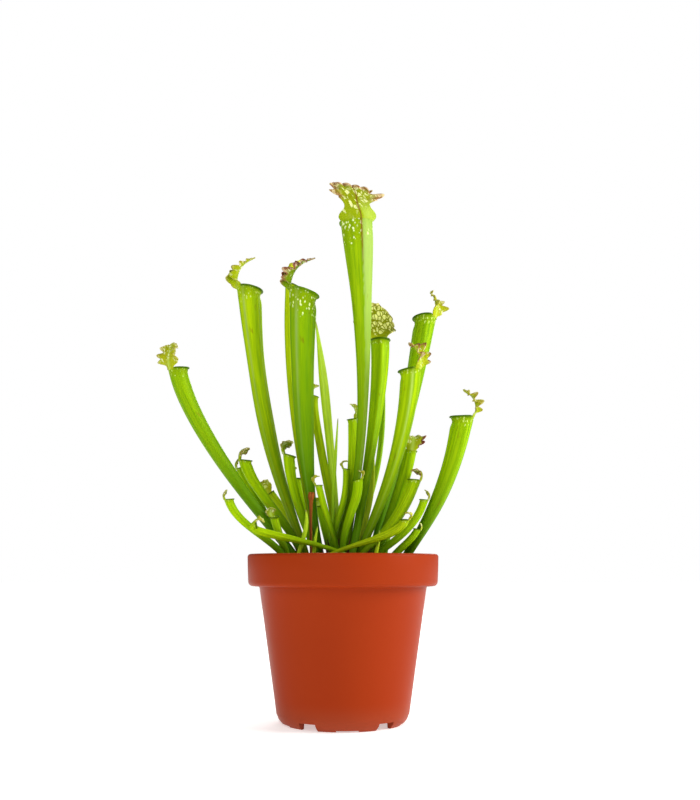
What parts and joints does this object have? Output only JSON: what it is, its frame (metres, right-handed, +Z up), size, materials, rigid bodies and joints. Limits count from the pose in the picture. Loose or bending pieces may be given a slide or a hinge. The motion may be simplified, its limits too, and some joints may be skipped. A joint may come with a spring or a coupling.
{
  "type": "potted sarracenia farnhamii",
  "caption": "Trumpet pitcher plant with upright green pitchers, frilled net-veined hoods and low young leaves in a round terracotta-coloured plastic pot with a rim band and feet.",
  "frame": {"origin": "middle of the underside of the whole plant's box, on the ground under the pot", "axes": "+Z up along the pot's axis; the side seen in the picture faces -Y, with +X to its right"},
  "size_m": [0.2388, 0.14, 0.3927],
  "materials": {
    "pot": "satin moulded terracotta-coloured plastic",
    "soil": "damp peat and grit",
    "rootstock": "rough, fibrous",
    "trumpet": "waxy satin leaf",
    "young_leaf": "waxy satin leaf",
    "flat_leaf": "waxy satin leaf",
    "dried_leaf": "dry, matte"
  },
  "bodies": {
    "root": {"pot": "pot", "soil": "soil", "rootstock": "rootstock", "pitcher_tallest": "trumpet", "pitcher_left": "trumpet", "pitcher_centre_left": "trumpet", "pitcher_behind_centre_left": "trumpet", "pitcher_net_hood": "trumpet", "pitcher_right": "trumpet", "pitcher_right_front": "trumpet", "pitcher_far_right": "trumpet", "pitcher_far_left": "trumpet", "young_left": "young_leaf", "young_left_behind": "young_leaf", "young_centre_left": "young_leaf", "young_frilled_back": "young_leaf", "young_curled_right": "young_leaf", "young_veined": "young_leaf", "young_centre": "young_leaf", "young_yellow": "young_leaf", "young_front": "young_leaf", "short_open": "young_leaf", "low_left": "young_leaf", "low_front_left": "young_leaf", "low_front_right": "young_leaf", "low_right": "young_leaf", "short_right": "young_leaf", "short_hooked": "young_leaf", "short_front": "young_leaf", "back_centre": "young_leaf", "back_left": "young_leaf", "back_right": "young_leaf", "back_far_left": "young_leaf", "flat_leaf_tall": "flat_leaf", "flat_leaf_right": "flat_leaf", "flat_leaf_yellow": "flat_leaf", "spear_centre": "flat_leaf", "dried_stub": "dried_leaf", "shoot_left": "flat_leaf", "shoot_curled": "flat_leaf", "shoot_right": "flat_leaf"}
  },
  "joints": []
}
